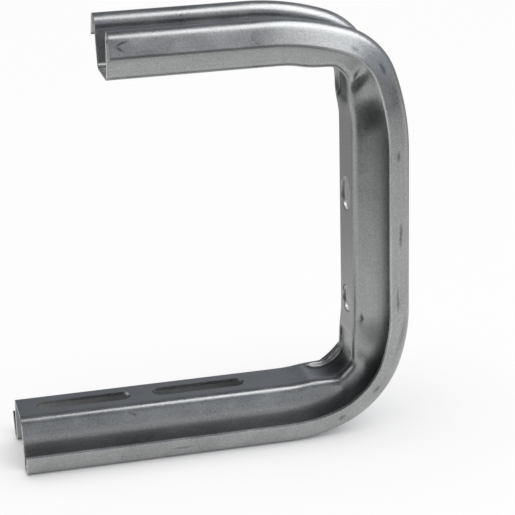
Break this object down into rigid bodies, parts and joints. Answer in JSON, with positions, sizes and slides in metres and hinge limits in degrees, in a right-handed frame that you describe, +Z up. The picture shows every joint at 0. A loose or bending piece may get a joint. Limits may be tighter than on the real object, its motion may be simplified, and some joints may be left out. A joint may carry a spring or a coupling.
{
  "type": "cable tray bracket",
  "caption": "C-shaped cable tray hanger pressed from folded steel channel, with slotted arms and an upright with two wall-fixing holes.",
  "frame": {"origin": "middle of the part's footprint, on the plane that the lower folds rest on", "axes": "+X from the open mouth to the upright, +Y across the channel, +Z up from the lower arm to the upper arm"},
  "size_m": [0.183, 0.0554, 0.202],
  "materials": {
    "sheet_steel": "satin zinc-coated sheet, lightly scuffed"
  },
  "bodies": {
    "root": {"bracket": "sheet_steel"}
  },
  "joints": []
}
